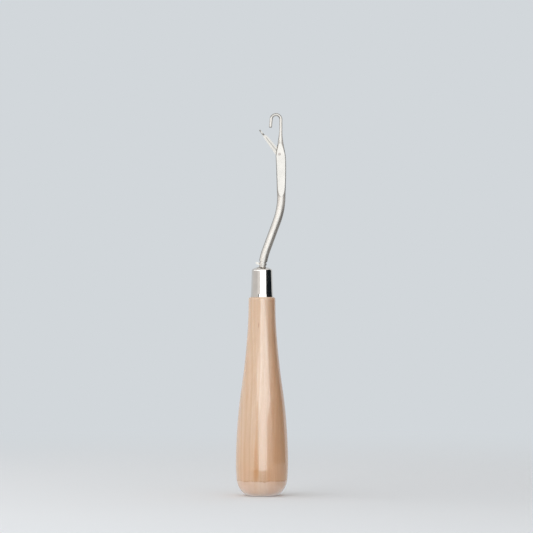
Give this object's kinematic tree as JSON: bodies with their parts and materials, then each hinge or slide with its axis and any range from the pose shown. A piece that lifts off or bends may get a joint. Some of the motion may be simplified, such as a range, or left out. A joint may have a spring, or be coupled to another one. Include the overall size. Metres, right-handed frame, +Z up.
{
  "type": "latch hook tool",
  "caption": "Hand tool for knotting rug wool: a turned wooden handle, a metal ferrule and a bent steel shank that ends in a small open hook with a swinging latch.",
  "frame": {"origin": "middle of the flat butt of the handle, on the handle's turning axis", "axes": "+Z up the handle to the hook; +X to the side that the shank is bent to, away from the latch; the tool is alike on both sides of the XZ plane"},
  "size_m": [0.022, 0.022, 0.1606],
  "materials": {
    "lacquered_wood": "clear gloss lacquer over blond wood",
    "nickel_plate": "polished nickel plate",
    "polished_steel": "polished plated steel wire",
    "rivet_steel": "peened steel",
    "latch_steel": "plated stamped steel"
  },
  "bodies": {
    "tool": {"handle": "lacquered_wood", "ferrule": "nickel_plate", "shank": "polished_steel", "rivet": "rivet_steel"},
    "latch": {"latch": "latch_steel"}
  },
  "joints": [
    {"name": "latch_pivot", "type": "hinge", "parent": "tool", "child": "latch", "pos_m": [0.00733, 0, 0.14334], "axis": [0, -1, 0], "range_deg": [-17.7, 122]}
  ]
}
